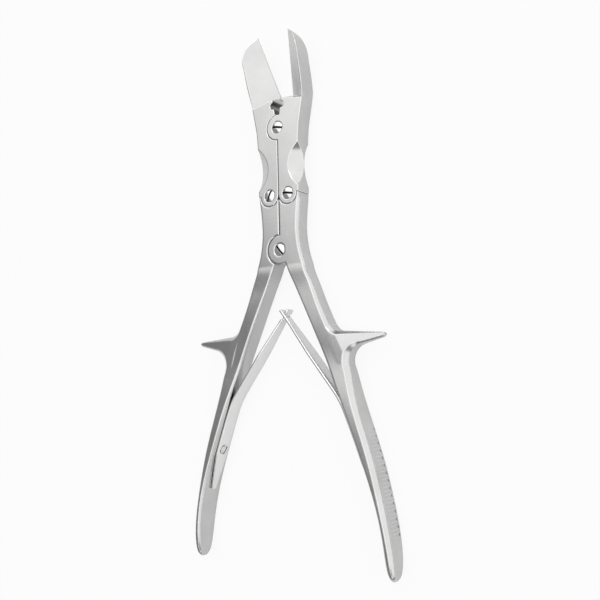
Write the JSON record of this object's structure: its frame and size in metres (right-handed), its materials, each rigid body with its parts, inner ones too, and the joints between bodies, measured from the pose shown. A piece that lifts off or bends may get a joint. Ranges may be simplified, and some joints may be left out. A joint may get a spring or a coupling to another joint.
{
  "type": "bone cutting forceps",
  "caption": "Double-action bone cutting forceps in satin steel: bevelled cutting jaws on a compound lap joint, curved handles with finger spurs, held open by crossing leaf springs.",
  "frame": {"origin": "on the flat back of the joint, on the axis of the screw that joins the two handles", "axes": "+Y along the forceps from the grips to the tips of the blades, +X to the right seen from the front, +Z out of the front face that carries the screw heads"},
  "size_m": [0.1186, 0.2688, 0.0182],
  "materials": {
    "satin_steel": "satin brushed stainless steel",
    "polished_steel": "polished stainless screws",
    "spring_steel": "smooth bright spring steel"
  },
  "bodies": {
    "left_lever": {"left_handle": "satin_steel", "handle_pivot_screw": "polished_steel", "left_link_screw": "polished_steel", "left_spring": "spring_steel", "left_spring_screw": "polished_steel"},
    "right_lever": {"right_handle": "satin_steel", "right_link_screw": "polished_steel", "right_spring": "spring_steel", "right_spring_screw": "polished_steel"},
    "left_jaw": {"left_blade": "satin_steel", "jaw_pivot_screw": "polished_steel"},
    "right_jaw": {"right_blade": "satin_steel"}
  },
  "joints": [
    {"name": "handle_squeeze", "type": "hinge", "parent": "left_lever", "child": "right_lever", "pos_m": [0, 0, 0.0048], "axis": [0, 0, -1], "range_deg": [0, 26.9], "stiffness_Nm_per_rad": 1.5, "springref_deg": -5.73, "deforming": ["left_spring", "right_spring"]},
    {"name": "left_blade_link", "type": "hinge", "parent": "left_lever", "child": "left_jaw", "pos_m": [-0.00565, 0.0283, 0.0048], "axis": [0, 0, -1], "range_deg": [0, 24.3]},
    {"name": "right_blade_link", "type": "hinge", "parent": "right_lever", "child": "right_jaw", "pos_m": [0.00565, 0.0283, 0.0048], "axis": [0, 0, 1], "range_deg": [0, 24.3]}
  ],
  "couplings": [
    {"joint": "left_blade_link", "follows": "handle_squeeze", "ratio": 0.9001},
    {"joint": "right_blade_link", "follows": "handle_squeeze", "ratio": 0.9001}
  ]
}
